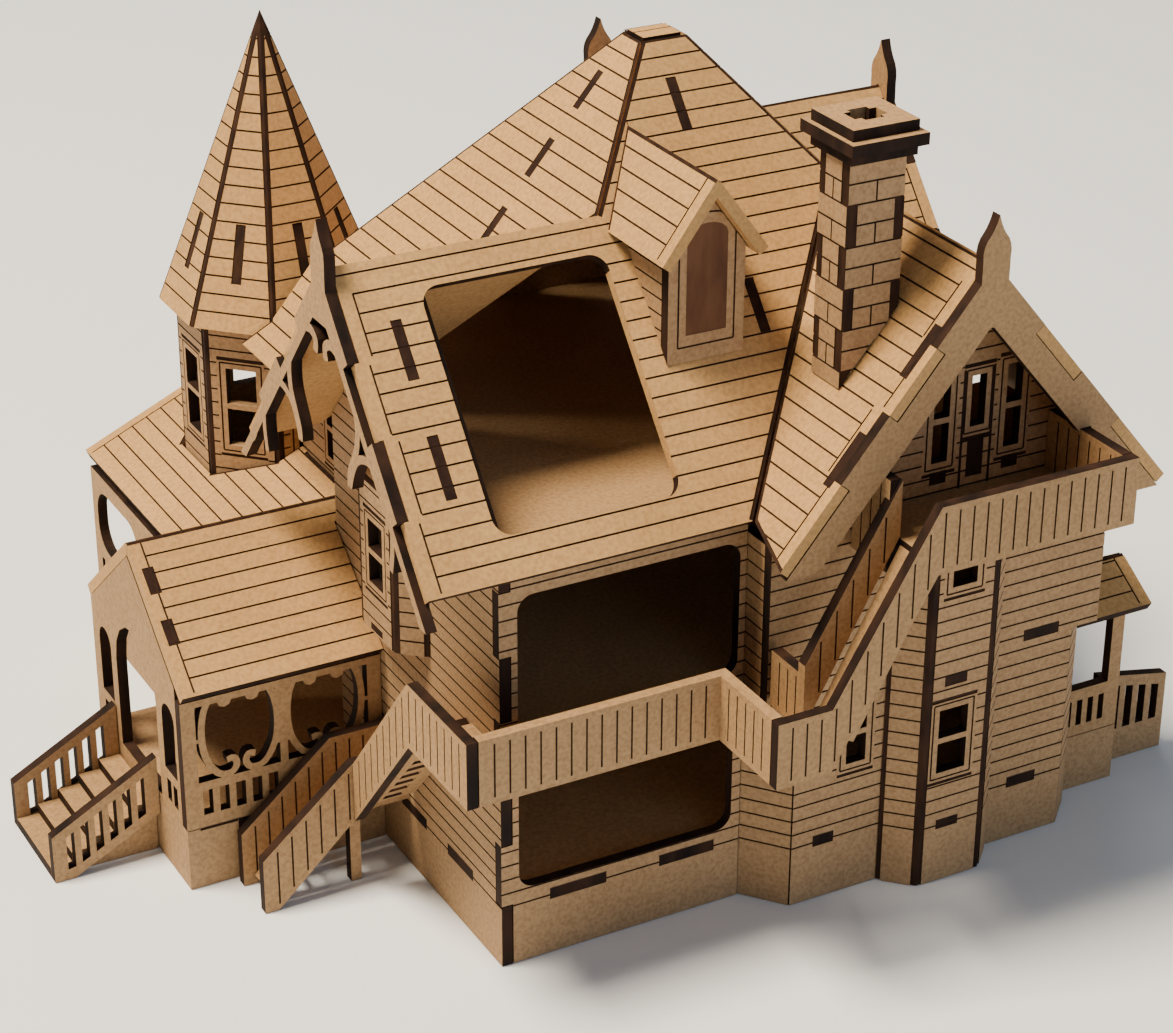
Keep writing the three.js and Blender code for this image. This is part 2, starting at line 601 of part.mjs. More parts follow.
const VERGE_LENGTH = 84;
const westS = vergeTabs(roofSouth, BOARD_W, BOARD_W + T, VERGE_LENGTH);
const westN = vergeTabs(roofBlockNorth, -BOARD_W - T, -BOARD_W, VERGE_LENGTH);
const wingW = vergeTabs(roofWing, -VERGE_S - T, -VERGE_S, VERGE_LENGTH);
const wingE = vergeTabs(roofEast, VERGE_S, VERGE_S + T, VERGE_LENGTH);
const eastS = vergeTabs(roofEastS, VERGE_E - T, VERGE_E, 70);
const eastN = vergeTabs(roofEastN, -VERGE_E, -VERGE_E + T, 70);
const northW = vergeTabs(roofNorthW, -VERGE_N, -VERGE_N + T, 62);
const northE = vergeTabs(roofNorthE, VERGE_N - T, VERGE_N, 62);

// The space that a finial takes at the end of a ridge.
const finialX = (x, y, z) => block(x - T - GAP, x + T + GAP, y - 4.3, y + 4.3, z - 20, z + 20);
const finialY = (x, y, z) => block(x - 4.3, x + 4.3, y - T - GAP, y + T + GAP, z - 20, z + 20);
const finialW = finialX(BOARD_W, RIDGE_Y, RIDGE_Z);
const finialS = finialY(WING_RIDGE_X, VERGE_S, RIDGE_Z);
const finialE = finialX(VERGE_E, EAST_RIDGE_Y, RIDGE_Z);
const finialN = finialY(NORTH_RIDGE_X, VERGE_N, NORTH_RIDGE_Z);

add("roof_south", notch(roofSheet(roofSouth, [
  [VERGE_W, EAVE_Y], valleyS, [WING_RIDGE_X, RIDGE_Y], [TOP.x1, TOP.y0], [TOP.x0, TOP.y0], hipSW, [VERGE_W, RIDGE_Y],
], [atticOpening()]), westS).subtract(finialW));
add("roof_block_north", notch(roofSheet(roofBlockNorth,
  [[VERGE_W, RIDGE_Y], hipSW, [eaveW, blockEaveY], [VERGE_W, blockEaveY]]), westN).subtract(finialW));
add("roof_west", roofSheet(roofWest, [hipSW, [TOP.x0, TOP.y0], [TOP.x0, TOP.y1], hipNW, [eaveW, blockEaveY]]).subtract(towerClear));
add("roof_north", pyramidNorth().add(roofCap()));
add("roof_east", notch(roofEastSheet(), wingE).subtract(finialS));
add("roof_wing_west", notch(roofSheet(roofWing,
  [[63.5, VERGE_S], [WING_RIDGE_X, VERGE_S], [WING_RIDGE_X, RIDGE_Y], valleyS]), wingW).subtract(finialS));
add("roof_east_gable", notch(notch(eastGableRoof(), eastS), eastN).subtract(finialE));
add("roof_north_gable", notch(notch(northGableRoof(), northW), northE).subtract(finialN));

const westFrame = plane(at(BOARD_W, 0, 0), at(0, -1, 0), Z);
const southFrame = facingSouth(VERGE_S);
const eastFrame = facingEast(VERGE_E);
const northFrame = plane(at(0, VERGE_N, 0), at(-1, 0, 0), Z);
const HOOK = [[3.2, 156.2], [2.7, 159.3], [5.6, 161.2], [9.9, 160.4], [14.6, 156.8], [18.8, 151.2], [20.4, 145.5],
  [19.8, 139.8], [17.3, 135], [15.2, 131], [14.9, 127.4]];
const BRACKET = [[15, 127.6], [16.8, 132.2], [20, 136.6], [25.5, 138.7], [31.5, 137.6], [36, 133.5], [38.4, 127.4],
  [38.7, 121], [37.6, 114.9]];
const FOOT_LOOP = [[41.4, 130.4], [43.4, 125.8], [44.1, 120], [46.6, 115.4], [51, 113], [55.6, 113.2]];
const westTracery = [
  ...mirroredRibbons(westFrame, -RIDGE_Y, [[HOOK, 2.6], [BRACKET, 2.2], [FOOT_LOOP, 2]]),
  ribbon(westFrame, [-9, -4.6, 0, 4.6, 9].map((d) => [-RIDGE_Y + d, 170.2 - 0.11 * d * d]), 3.4),
];
const apexArch = (frame, middle, z) => ring(frame, middle, z - 32, 19, 15.5).subtract(
  prism(frame, rect(middle - 30, middle + 30, z - 60, z - 32), 1, T + 1));
const sideRailSpace = block(STAIR.end - T - GAP, STAIR.end + GAP, VERGE_S - 1, VERGE_S + T + 1, 100, BALCONY_Z + RAIL_H - RAIL_BELOW + GAP);
const northBoardSpace = block(72, 163, VERGE_N - 9, VERGE_N + 9, 0, 300);
const eastBoardSpace = block(VERGE_E - 9, VERGE_E + 9, 54, 150, 0, 300);
add("west_bargeboard", bargeboard(westFrame, -RIDGE_Y, RIDGE_Z, [roofSouth, roofBlockNorth], [...westS, ...westN], westTracery,
  SLIM_BOARD));
add("wing_bargeboard", bargeboard(southFrame, WING_RIDGE_X, RIDGE_Z, [roofWing, roofEast], [...wingW, ...wingE],
  [apexArch(southFrame, WING_RIDGE_X, RIDGE_Z)]).subtract(sideRailSpace));
add("east_bargeboard", bargeboard(eastFrame, EAST_RIDGE_Y, RIDGE_Z, [roofEastS, roofEastN], [...eastS, ...eastN],
  [apexArch(eastFrame, EAST_RIDGE_Y, RIDGE_Z)]).intersect(eastBoardSpace));
add("north_bargeboard", bargeboard(northFrame, -NORTH_RIDGE_X, NORTH_RIDGE_Z, [roofNorthW, roofNorthE], [...northW, ...northE],
  [apexArch(northFrame, -NORTH_RIDGE_X, NORTH_RIDGE_Z)]).intersect(northBoardSpace));

// ---- dormer ----
const DORMER = { x: 69, half: 10.9, y: 21.5, verge: 17.3, apex: 196, overhang: 15.2, eave: 175.4, floor: 144 };
const dormerPitch = Math.atan((DORMER.apex - DORMER.eave) / DORMER.overhang);
const dormerLeft = slope(DORMER.x, 0, DORMER.apex, 1, 0, dormerPitch);
const dormerRight = slope(DORMER.x, 0, DORMER.apex, -1, 0, dormerPitch);

function dormerFront() {
  const { x, half, y, floor, apex } = DORMER;
  const wall = sheet(facingSouth(y), [[x - half, floor - 6], [x + half, floor - 6], [x + half, apex], [x - half, apex]]);
  return over(under(wall, dormerLeft, dormerRight), roofSouth);
}

function dormerCheek(x) {
  const { y, floor, apex } = DORMER;
  return over(under(block(x, x + T, y + T + GAP, 60, floor, apex), dormerLeft, dormerRight), roofSouth);
}

// Both slopes of the dormer's roof, glued along their ridge.
function dormerRoof() {
  const { x, verge, overhang } = DORMER;
  const half = (p, dx) => roofSheet(p, [[x - dx * GAP, verge], [x + dx * overhang, verge], [x + dx * overhang, 64], [x - dx * GAP, 64]]);
  return over(half(dormerLeft, -1).add(half(dormerRight, 1)), roofSouth);
}

add("dormer_front", dormerFront());
add("dormer_cheek_left", dormerCheek(DORMER.x - DORMER.half));
add("dormer_cheek_right", dormerCheek(DORMER.x + DORMER.half - T));
add("dormer_roof", dormerRoof());

// ---- chimney ----
const SHAFT = { x0: 92, x1: 108.6, y0: -4.4, y1: 8.6, z0: 130, z1: 202.7 };
const CAP_PLATES = [[1.1, 2.6], [2.6, 5.1], [1.1, 2.8]]; // overhang of each plate in X and Y, from the lowest up

function chimneyShaft() {
  const { x0, x1, y0, y1, z0, z1 } = SHAFT;
  const tube = block(x0, x1, y0, y1, z0, z1).subtract(block(x0 + T, x1 - T, y0 + T, y1 - T, z0 - 1, z1 + 1));
  return over(tube, roofWing);
}

// Three plates glued in a stack, with a cross-shaped flue through them.
function chimneyCap() {
  const { x0, x1, y0, y1, z1 } = SHAFT;
  const plates = CAP_PLATES.map(([dx, dy], k) => {
    const z = z1 + GAP + k * T;
    return block(x0 - dx, x1 + dx, y0 - dy, y1 + dy, z, z + T + (k < 2 ? 0.1 : 0));
  });
  const stack = plates.reduce((whole, plate) => whole.add(plate));
  const flue = block(x0 + 3.6, x1 - 3.6, y0 + 4, y1 - 4, z1 - 1, z1 + 12);
  const cross = block(x0 + 5.6, x1 - 5.6, y0 + 2.4, y1 - 2.4, z1 - 1, z1 + 12);
  return stack.subtract(flue).subtract(cross);
}

add("chimney_shaft", chimneyShaft());
add("chimney_cap", chimneyCap());

// ---- tower ----
function towerWalls() {
  const inner = towerRing(TOWER.r - T / Math.cos(Math.PI / 8));
  const ringWall = sheet(flat(TOWER.wall), towerRing(TOWER.r), [inner], TOWER.wall);
  const windowHalf = 4.6;
  let walls = ringWall;
  for (let k = 0; k < 8; k += 1) {
    const a = (k * Math.PI) / 4;
    const out = at(Math.cos(a), Math.sin(a), 0);
    const facet = plane(at(TOWER.x, TOWER.y, 0).addScaledVector(out, TOWER.r), Z.clone().cross(out), Z);
    for (const [z0, z1] of [[79, 90.5], [92, 103]]) {
      walls = walls.subtract(prism(facet, rect(-windowHalf, windowHalf, z0, z1), 1, 6));
    }
  }
  return walls;
}

function towerRoof() {
  const rise = TOWER.apex - TOWER.top;
  const inradius = TOWER.roofR * Math.cos(Math.PI / 8);
  const drop = T / Math.cos(Math.atan(rise / inradius));
  const cone = (z) => {
    const geometry = new THREE.ConeGeometry(TOWER.roofR, rise, 8);
    geometry.rotateX(Math.PI / 2);
    geometry.rotateZ(Math.PI / 8);
    return solid(geometry.translate(TOWER.x, TOWER.y, z + rise / 2));
  };
  return cone(TOWER.top).subtract(cone(TOWER.top - drop));
}

add("tower_walls", towerWalls());
add("tower_roof", towerRoof());

// ---- walkway, balcony and outer stairs ----
const railLow = FIRST_Z - RAIL_BELOW;
const railTop = railLow + RAIL_H;

function walkway() {
  const inner = -WALK + T + GAP;
  const turn = 52.1 + T + GAP;
  return sheet(flat(FIRST_Z), [
    [inner, inner], [turn, inner], [turn, STAIR.outer + T + GAP], [69.6, STAIR.outer + T + GAP], [69.6, -GAP],
    [-GAP, -GAP], [-GAP, STEP_DOWN.peak], [inner, STEP_DOWN.peak],
  ]);
}

function southRail() {
  const front = block(-WALK + T + GAP, 52.1 + T, -WALK, -WALK + T, railLow, railTop);
  return front.add(block(52.1, 52.1 + T, STAIR.outer + T + GAP, -WALK + T, railLow, railTop));
}

function westRail() {
  const { peak, foot, z } = STEP_DOWN;
  return sheet(facingEast(-WALK + T), [
    [-WALK, railLow], [peak, railLow], [foot - GAP, z - 3], [foot - GAP, z + 14.5], [peak, railTop], [-WALK, railTop],
  ]);
}

function outerStairRail() {
  const { foot, head, outer, end } = STAIR;
  const rise = BALCONY_Z - FIRST_Z;
  return sheet(facingSouth(outer), [
    [52.1, railLow], [foot, railLow], [head, railLow + rise], [end, railLow + rise], [end, railTop + rise],
    [head, railTop + rise], [foot, railTop], [52.1, railTop],
  ]);
}

// The inner stair rail, with the short closing rails at its foot and head that reach the wall.
function innerStairRail() {
  const { foot, head, inner } = STAIR;
  const rise = BALCONY_Z - FIRST_Z;
  const panel = sheet(facingSouth(inner), [
    [foot + 2.6, railLow + 3], [head, railLow + rise + 3], [head, railTop + rise], [foot + 2.6, railTop + 3],
  ]);
  const low = block(foot + 2.6, foot + 2.6 + T, inner + 1, WING_Y - 1.5, FIRST_Z + GAP, railTop);
  const high = block(head - T, head, inner + 1, WING_Y - GAP, BALCONY_Z - 9, railTop + rise);
  return panel.add(low).add(high);
}

function upperFloor() {
  const { head, outer, end } = STAIR;
  return block(head + GAP, end - T - GAP, outer + T + GAP, WING_Y - GAP, BALCONY_Z - T, BALCONY_Z);
}

function stairTreads(x, y, z, u, run, rise, width, count) {
  const v = run.clone().setZ(rise);
  const length = v.length();
  return treadSheet(plane(at(x, y, z), u, v.normalize()), width, length, count);
}

add("walkway_floor", walkway());
add("walkway_rail", southRail());
add("west_stair_rail", westRail());
add("upper_stair_rail", outerStairRail());
add("upper_stair_inner_rail", innerStairRail());
add("upper_balcony_floor", upperFloor());
add("upper_side_rail", block(STAIR.end - T, STAIR.end, STAIR.outer + T + GAP, WING_Y - GAP, BALCONY_Z - RAIL_BELOW, railTop + BALCONY_Z - FIRST_Z));
const climb = BALCONY_Z - FIRST_Z - 6;
add("upper_stair_treads", stairTreads(STAIR.foot + 6, STAIR.inner - GAP, FIRST_Z + 4.5, at(0, -1, 0), at(STAIR.head - STAIR.foot - 6, 0, 0), climb, -STAIR.outer + STAIR.inner - T - 2 * GAP, 10)
  .subtract(block(STAIR.head, STAIR.head + 9, STAIR.outer, WING_Y, BALCONY_Z - T - GAP, BALCONY_Z + 9)));
add("west_stair_treads", stairTreads(-WALK + T + GAP, STEP_DOWN.foot - 0.5, STEP_DOWN.z + 1, X, at(0, -(STEP_DOWN.foot - STEP_DOWN.peak - 1.5), 0), FIRST_Z - STEP_DOWN.z - 3, WALK - T - 2 * GAP, 9));

function lowerStairRails(y, landing) {
  const { z, ground } = STEP_DOWN;
  const right = landing ? -GAP : -WALK + T;
  return sheet(facingSouth(y), [
    [ground, 0], [ground + 4, 0], [-WALK, z - 3], [right, z - 3], [right, z + 14.5], [-WALK, z + 14.5], [ground, 16],
  ]);
}

add("lower_stair_rail", lowerStairRails(STEP_DOWN.foot, false));
add("lower_stair_back_rail", lowerStairRails(STEP_DOWN.back - T, true));

function landing() {
  const { foot, back, z, ground } = STEP_DOWN;
  const y0 = foot + T + GAP;
  const y1 = back - T - GAP;
  const deck = block(-WALK, -GAP, y0, y1, z - T, z);
  const post = block(-WALK, -WALK + T, y0, y0 + T, 0, z - 1);
  const run = -WALK - ground - 3;
  const v = at(run, 0, z - 3).normalize();
  const length = Math.hypot(run, z - 3);
  const treads = treadSheet(plane(at(ground + 3, y1, 3), at(0, -1, 0), v), y1 - y0, length + 1, 6);
  return deck.add(post).add(treads);
}

add("lower_stair", landing());

// ---- west porch ----
const towerFoot = prism(flat(0), towerRing(TOWER.r + GAP + 0.3), HUGE / 2, 1);

function porchBase() {
  const { x, y0, y1, floor } = PORCH;
  const right = -GAP;
  let deck = block(x, right, y0, y1, floor - T, floor)
    .add(block(LEANTO.x, SETBACK_X - GAP, y1 - 30, LEANTO.y1, floor - T, floor))
    .add(block(-1, SETBACK_X - GAP, BLOCK_D + GAP, y1, floor - T, floor));
  deck = deck
    .add(block(x, right, y0, y0 + T, 0, floor))
    .add(block(x, x + T, y0, y1, 0, floor))
    .add(block(x, LEANTO.x + T, y1 - T, y1, 0, floor))
    .add(block(LEANTO.x, LEANTO.x + T, y1 - T, LEANTO.y1, 0, floor))
    .add(block(LEANTO.x, SETBACK_X, LEANTO.y1 - T, LEANTO.y1, 0, floor));
  return deck.subtract(towerFoot);
}

// The near side of the porch: a balustrade, and above it two bays, each between a pair of scrolled bands.
function porchArcade() {
  const { x, y0, floor } = PORCH;
  const frame = facingSouth(y0);
  const z0 = floor + GAP;
  const z1 = heightOn(porchS, 0, y0) - 5;
  const x1 = -GAP;
  const rail = 32;
  const top = z1 - 2;
  const post = 4;
  const middle = -28.8;
  const half = 1.1;
  const bays = [[x + post, middle - half], [middle + half, x1 - post]];
  const holes = bays.flatMap(([a, b]) => [
    ...balusterGaps(a, b, () => 22, () => 29.4, 5, 1.9),
    rect(a, b, rail, top),
  ]);
  let wall = sheet(frame, [[x, z0], [x1, z0], [x1, z1], [x, z1]], holes);
  const scroll = [[8.6, z1 - 1.2], [10, 52], [10.7, 46], [9.8, 39], [6.6, 33.6], [2.9, 32.9], [1.3, 35], [2.1, 37.2],
    [4, 36.9]];
  for (const centre of [-41, -16.8]) {
    for (const band of mirroredRibbons(frame, centre, [[scroll, 1.9]])) wall = wall.add(band);
    for (const side of [-1, 1]) {
      const tie = [centre + side * 10, centre + side * 12.8];
      const lobe = new THREE.Path().absellipse(centre + side * 3.9, top, 2, 1.8, 0, 2 * Math.PI);
      wall = wall.add(sheet(frame, rect(Math.min(...tie), Math.max(...tie), 44, 45.2))).add(sheet(frame, lobe));
    }
  }
  return wall.add(sheet(frame, rect(middle - 1.9, middle + 1.9, 38, z1 - 1)));
}

function porchFront() {
  const { x, y0, y1, floor } = PORCH;
  const frame = plane(at(x, 0, 0), at(0, -1, 0), Z);
  const z0 = floor + GAP;
  const holes = [arch(-118, -88, z0 + 1.5, 62), arch(-84, -75, 31, 52), arch(-131, -122, 31, 52)];
  const gaps = [[-84, -75], [-131, -122]].flatMap(([a, b]) => balusterGaps(a, b, () => 21.5, () => 28, 2, 1.6));
  const wall = sheet(frame, [[-y1, z0], [-y0 - T - GAP, z0], [-y0 - T - GAP, 90], [-y1, 90]], [...holes, ...gaps]);
  return under(wall, porchS, porchN);
}

function porchRoof(p, north) {
  const { x, ridgeY, ridgeZ, eave } = PORCH;
  const far = 2 * ridgeY - eave;
  const right = SETBACK_X - GAP;
  if (!north) {
    return roofSheet(p, [[x, eave], [-GAP, eave], [-GAP, BLOCK_D], [right, BLOCK_D + GAP], [right, ridgeY], [x, ridgeY]]);
  }
  return roofSheet(p, [[x, ridgeY], [right, ridgeY], [right, 114.9], [LEANTO.x, far], [x, far]]);
}

function leanToRoof() {
  const { x, y1 } = LEANTO;
  const right = SETBACK_X - GAP;
  const plan = [[x, 2 * PORCH.ridgeY - PORCH.eave], [right, 114.9], [right, 150], [44, 150], [44, 220], [x, 220]];
  return roofSheet(leanTo, plan).subtract(towerFoot).intersect(block(x - 1, right, 100, 221, 0, 200));
}

function leanToArcade() {
  const { x, z, y1 } = LEANTO;
  const frame = plane(at(x, 0, 0), at(0, -1, 0), Z);
  const z0 = PORCH.floor + GAP;
  const z1 = z - 3.5;
  const y0 = PORCH.y1 + GAP;
  const holes = [
    ...balusterGaps(-y1 + 4, -y0 - 4, () => 21.5, () => 28, 18, 1.6),
    roundRect(-y1 + 4, -178, 31.5, z1 - 5, 8),
    roundRect(-174, -y0 - 4, 31.5, z1 - 5, 8),
  ];
  return sheet(frame, [[-y1, z0], [-y0, z0], [-y0, z1], [-y1, z1]], holes);
}

function porchSteps() {
  const { x1, y0, y1, count } = STEPS;
  const x0 = PORCH.x - GAP;
  const run = (x0 - x1) / count;
  const rise = PORCH.floor / (count + 1);
  const outline = [[x0, 0]];
  for (let k = count; k >= 1; k -= 1) {
    outline.push([x0 - (count - k) * run, k * rise], [x0 - (count - k + 1) * run, k * rise]);
  }
  outline.push([x1, 0]);
  return sheet(facingSouth(y0 + T + GAP), outline, [], y1 - y0 - 2 * T - 2 * GAP);
}

// An open balustrade that follows the steps.
function stepSide(y, x0, x1, floor) {
  const low = line(x0, floor - 5, x1, -3);
  const top = line(x0, floor + 12.5, x1, 14);
  const base = (x) => Math.max(low(x), 0);
  const side = Math.sign(x1 - x0);
  const gaps = balusterGaps(x0 + side * 3, x1 - side * 3, (x) => base(x) + 2, (x) => top(x) - 2, 6, 0)
    .map((gap) => inset(gap, 0.9));
  const foot = x0 + ((x1 - x0) * (floor - 5)) / (floor - 2);
  return sheet(facingSouth(y), [[x0, low(x0)], [foot, 0], [x1, 0], [x1, top(x1)], [x0, top(x0)]], gaps);
}

add("porch_base", porchBase());
add("porch_side_arcade", porchArcade());
add("porch_front", porchFront());
add("porch_roof_south", porchRoof(porchS, false));
add("porch_roof_north", porchRoof(porchN, true));
add("lean_to_roof", leanToRoof());
add("lean_to_arcade", leanToArcade());
add("porch_steps", porchSteps());
add("porch_step_side_near", stepSide(STEPS.y0, PORCH.x - GAP, STEPS.x1, PORCH.floor));
add("porch_step_side_far", stepSide(STEPS.y1 - T, PORCH.x - GAP, STEPS.x1, PORCH.floor));

// ---- east porch ----
// The porch's box, its step and the railed side of the step.
function eastPorchBase() {
  const { x, stepX, y0, y1, floor } = EAST_PORCH;
  const near = y0 + 7;
  const hollow = block(EAST_X - 1, x - T, y0 + T, y1 - T, -1, floor - T);
  const step = block(x - 1, stepX, near, y1 - 1, 0, floor / 2);
  const top = line(x, floor + 12, stepX, floor + 7);
  const rail = sheet(facingSouth(near), [[x - 1, 0], [stepX, 0], [stepX, top(stepX)], [x - 1, top(x)]],
    balusterGaps(x + 3, stepX - 1.5, () => floor / 2 + 1.5, (a) => top(a) - 3.5, 4, 2));
  return block(EAST_X + GAP, x, y0, y1, 0, floor).subtract(hollow).add(step).add(rail);
}

function eastPorchRail() {
  const { x, y0, floor, eaveZ } = EAST_PORCH;
  const z0 = floor + GAP;
  const z1 = eaveZ + 0.5;
  const x0 = EAST_X + GAP;
  const holes = [...balusterGaps(x0 + 1, x - 4, () => 20.5, () => 28.5, 4, 1.8), rect(x0 + 2, x - 4, 32, z1 - 3)];
  const wall = sheet(facingSouth(y0), [[x0, z0], [x, z0], [x, z1 + T], [x0, z1 + T]], holes);
  return under(wall, eastPorchS);
}

// Both slopes of the small gable over the east door.
function eastPorchRoof() {
  const { verge, eaveY, ridgeY } = EAST_PORCH;
  const x0 = EAST_X + GAP;
  const half = (p, from, to) => roofSheet(p, [[x0, from], [verge, from], [verge, to], [x0, to]]);
  return half(eastPorchS, eaveY, ridgeY + LAP).add(half(eastPorchN, ridgeY - LAP, 2 * ridgeY - eaveY));
}

add("east_porch_base", eastPorchBase());
add("east_porch_rail", eastPorchRail());
add("east_porch_roof", eastPorchRoof());

// ---- the whole part, with its origin at the centre of its footprint ----
const group = new THREE.Group();
for (const [name, body] of nodes) {
  const mesh = body.getMesh();
  const geometry = new THREE.BufferGeometry();
  geometry.setAttribute("position", new THREE.BufferAttribute(new Float32Array(mesh.vertProperties), 3));
  geometry.setIndex(new THREE.BufferAttribute(new Uint32Array(mesh.triVerts), 1));
  geometry.computeVertexNormals();
  const part = new THREE.Mesh(geometry, SHEET);
  part.name = name;
  group.add(part);
}
const bounds = new THREE.Box3().setFromObject(group);
const middle = bounds.getCenter(new THREE.Vector3());
group.position.set(-middle.x, -middle.y, -bounds.min.z);

export default group;
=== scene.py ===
"""The looks of a laser-cut fibreboard house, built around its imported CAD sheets.

Every CAD node is copied, its laser-engraved lines are cut in as real grooves, its cut edges get a burnt
material, and its faces a fibreboard material. Lines follow the outlines of the frame's own meshes. Single
marks are placed in millimetres from the building's front left corner, which is read from the frame.
"""

import json
import math

import bmesh
import bpy
from mathutils import Matrix, Vector


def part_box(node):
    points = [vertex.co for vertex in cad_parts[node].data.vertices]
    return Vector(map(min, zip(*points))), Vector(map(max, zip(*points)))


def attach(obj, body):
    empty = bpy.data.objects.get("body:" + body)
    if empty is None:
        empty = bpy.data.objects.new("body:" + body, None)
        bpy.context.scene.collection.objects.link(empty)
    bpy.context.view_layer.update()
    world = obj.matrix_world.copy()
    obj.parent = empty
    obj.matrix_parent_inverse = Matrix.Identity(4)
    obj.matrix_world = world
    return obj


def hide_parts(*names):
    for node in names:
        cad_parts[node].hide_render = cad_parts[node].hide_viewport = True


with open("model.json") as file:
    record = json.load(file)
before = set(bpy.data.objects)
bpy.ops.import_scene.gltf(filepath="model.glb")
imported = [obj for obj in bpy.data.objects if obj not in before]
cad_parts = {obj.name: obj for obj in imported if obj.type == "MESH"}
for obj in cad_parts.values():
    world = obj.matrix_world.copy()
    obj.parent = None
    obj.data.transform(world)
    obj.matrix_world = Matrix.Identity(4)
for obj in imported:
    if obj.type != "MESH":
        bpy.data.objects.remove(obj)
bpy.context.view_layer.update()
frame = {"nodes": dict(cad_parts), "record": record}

MM = 0.001
EDGE_LIMIT = 3.35 * MM  # a face narrower than this is a cut edge
LINE = 0.5 * MM  # width of an engraved line
DEPTH = 0.28 * MM  # depth of an engraved line
CLAPBOARD = 4.14 * MM  # height of a course of siding
PLANK = 5.1 * MM  # width of a roof plank
RIM = 2.2 * MM  # width of the dark line along a hip or a ridge, half of it on each slope
VERGE_LINE = 3.6 * MM  # how far the planks stay back from a verge
CORNER_STRIP = 1.6 * MM  # width of the dark joint at a corner of the walls
BRICK = 5.4 * MM  # height of a course of the chimney
FINGER = 3.0 * MM  # how deep the dark joint fingers of the chimney reach in
TONGUE = 4.1 * MM  # width of an upright tongue-and-groove board
BORDER = 1.7 * MM  # plain border round tongue-and-groove boards and around window holes
PLINTH = 17.6 * MM  # height where the siding starts
TAB_DEPTH = 0.6 * DEPTH  # how far a dark tab end lies below the face
TOP_MARGIN = 1.2 * MM  # no course line runs nearer than this to the top of a face
SHORTEST_LINE = 0.5 * MM
WINDOW_WIDTHS = (3.5 * MM, 20 * MM)  # a hole within these sizes is a window
WINDOW_HEIGHTS = (7 * MM, 40 * MM)
SMALL_FACE = 30 * MM * MM  # a face smaller than this has no engraving
BUMP_HEIGHT = 0.2 * MM
SAME_PLANE = 0.9995  # cosine between the normals of one flat region
STRAIGHT = 0.05  # the slope under which a line counts as level or upright
FACING = 0.9  # the cosine over which a face counts as looking along an axis
UP = Vector((0, 0, 1))

# The building's own corner: the foot of the front left corner of the main wall.
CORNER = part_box("south_wall")[0]


def place(x, y, z):
    """A point of the building, given in millimetres from its front left corner."""
    return Vector((CORNER.x + x * MM, CORNER.y + y * MM, z * MM))


MIDDLE = place(87, 80, 60)  # a point well inside the building


# ---- materials ----


def new_material(name):
    material = bpy.data.materials.new(name)
    material.use_nodes = True
    nodes = material.node_tree.nodes
    return material, nodes, material.node_tree.links, nodes["Principled BSDF"]


def noise(nodes, links, scale, detail, stretch=(1, 1, 1)):
    """A noise in object space, so that it needs no UVs."""
    coordinates = nodes.new("ShaderNodeTexCoord")
    mapping = nodes.new("ShaderNodeMapping")
    mapping.inputs["Scale"].default_value = stretch
    texture = nodes.new("ShaderNodeTexNoise")
    texture.inputs["Scale"].default_value = scale
    texture.inputs["Detail"].default_value = detail
    links.new(coordinates.outputs["Object"], mapping.inputs["Vector"])
    links.new(mapping.outputs["Vector"], texture.inputs["Vector"])
    return texture.outputs["Fac"]


def ramp(nodes, links, factor, stops):
    node = nodes.new("ShaderNodeValToRGB")
    elements = node.color_ramp.elements
    while len(elements) < len(stops):
        elements.new(0.5)
    for element, (position, color) in zip(elements, stops):
        element.position = position
        element.color = (*color, 1)
    links.new(factor, node.inputs["Fac"])
    return node.outputs["Color"]


def mix(nodes, links, kind, amount, a, b):
    node = nodes.new("ShaderNodeMix")
    node.data_type = "RGBA"
    node.blend_type = kind
    node.inputs["Factor"].default_value = amount
    links.new(a, node.inputs["A"])
    links.new(b, node.inputs["B"])
    return node.outputs["Result"]


def bump(nodes, links, height, strength, shader):
    node = nodes.new("ShaderNodeBump")
    node.inputs["Strength"].default_value = strength
    node.inputs["Distance"].default_value = BUMP_HEIGHT
    links.new(height, node.inputs["Height"])
    links.new(node.outputs["Normal"], shader.inputs["Normal"])


def board_material(name, light, dark):
    """Bare fibreboard: pressed fibres as fine flecks, and a slow drift of tone across the sheet."""
    material, nodes, links, shader = new_material(name)
    flecks = noise(nodes, links, 900, 6)
    drift = noise(nodes, links, 22, 3)
    fibre = ramp(nodes, links, flecks, [(0.3, dark), (0.62, light)])
    tone = ramp(nodes, links, drift, [(0.3, (0.8, 0.78, 0.76)), (0.7, (1, 1, 1))])
    links.new(mix(nodes, links, "MULTIPLY", 0.8, fibre, tone), shader.inputs["Base Color"])
    bump(nodes, links, flecks, 0.25, shader)
    shader.inputs["Roughness"].default_value = 0.78
    shader.inputs["Specular IOR Level"].default_value = 0.3
    return material


def burnt_material(name, light, dark, scale):
    """Charred fibreboard, as a laser leaves it: nearly black with brown patches and a faint gloss."""
    material, nodes, links, shader = new_material(name)
    patches = noise(nodes, links, scale, 5, (1, 1, 0.25))
    links.new(ramp(nodes, links, patches, [(0.35, dark), (0.68, light)]), shader.inputs["Base Color"])
    bump(nodes, links, patches, 0.3, shader)
    shader.inputs["Roughness"].default_value = 0.8
    shader.inputs["Specular IOR Level"].default_value = 0.15
    return material


